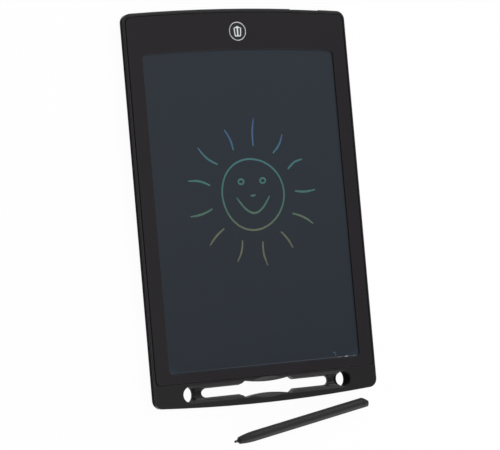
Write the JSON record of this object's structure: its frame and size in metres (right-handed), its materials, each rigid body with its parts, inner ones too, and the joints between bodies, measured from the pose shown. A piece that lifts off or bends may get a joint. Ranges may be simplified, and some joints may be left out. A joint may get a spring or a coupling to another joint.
{
  "type": "lcd writing tablet",
  "caption": "Slim dark LCD writing tablet with an erase key, an erase lock, a slide-out battery tray, a stylus channel and a loose stylus.",
  "frame": {"origin": "centre of the tablet's flat back face", "axes": "+X to the right edge, +Y to the top edge with the erase key, +Z out of the screen"},
  "size_m": [0.143, 0.2467, 0.006],
  "materials": {
    "shell_plastic": "fine satin texture",
    "panel_plastic": "fine matt texture",
    "tape": "matt",
    "clear_film": "clear film over a dark screen",
    "crystal_layer": "dark, lines show where pressed",
    "conductive_film": "clear",
    "colour_sheet": "dark colour bands",
    "backing_sheet": "matt",
    "foam": "soft",
    "white_plastic": "smooth white",
    "key_plastic": "satin",
    "switch_plastic": "matt",
    "board_laminate": "solder mask",
    "screw_steel": "plated",
    "chip_plastic": "matt",
    "ferrite": "matt",
    "capacitor_ceramic": "matt",
    "tail_film": "smooth",
    "cell_steel": "bright",
    "contact_metal": "bright",
    "stylus_plastic": "satin",
    "nib_plastic": "satin"
  },
  "bodies": {
    "tablet": {"rear_shell": "shell_plastic", "front_bezel": "panel_plastic", "bezel_tape": "tape", "writing_film": "clear_film", "liquid_crystal_layer": "crystal_layer", "base_film": "conductive_film", "colour_film": "colour_sheet", "film_tape": "tape", "backing_plate": "backing_sheet", "foam_pad": "foam", "erase_ring": "white_plastic", "erase_switch_body": "switch_plastic", "circuit_board": "board_laminate", "board_screws": "screw_steel", "controller_chip": "chip_plastic", "boost_coil": "ferrite", "chip_capacitors": "capacitor_ceramic", "film_connector": "switch_plastic", "film_tail": "tail_film", "lock_switch_body": "screw_steel", "positive_contact": "contact_metal", "negative_contact": "contact_metal"},
    "erase_key": {"erase_button": "key_plastic", "erase_switch_plunger": "switch_plastic"},
    "lock": {"lock_slider": "key_plastic", "lock_switch_actuator": "switch_plastic"},
    "tray": {"battery_tray": "shell_plastic", "coin_cell": "cell_steel"},
    "stylus": {"stylus_barrel": "stylus_plastic", "stylus_nib": "nib_plastic", "stylus_end_cap": "stylus_plastic"}
  },
  "joints": [
    {"name": "erase_key_press", "type": "slide", "parent": "tablet", "child": "erase_key", "axis": [0, 0, -1], "range_m": [0, 0.0004], "stiffness_N_per_m": 2500, "springref_m": -0.0002},
    {"name": "lock_slide", "type": "slide", "parent": "tablet", "child": "lock", "axis": [1, 0, 0], "range_m": [0, 0.002]},
    {"name": "battery_tray_slide", "type": "slide", "parent": "tablet", "child": "tray", "axis": [0, 1, 0], "range_m": [0, 0.024]},
    {"name": "stylus_lift", "type": "slide", "parent": "tablet", "child": "stylus", "axis": [0, 0, 1], "range_m": [0, 0.06]}
  ]
}
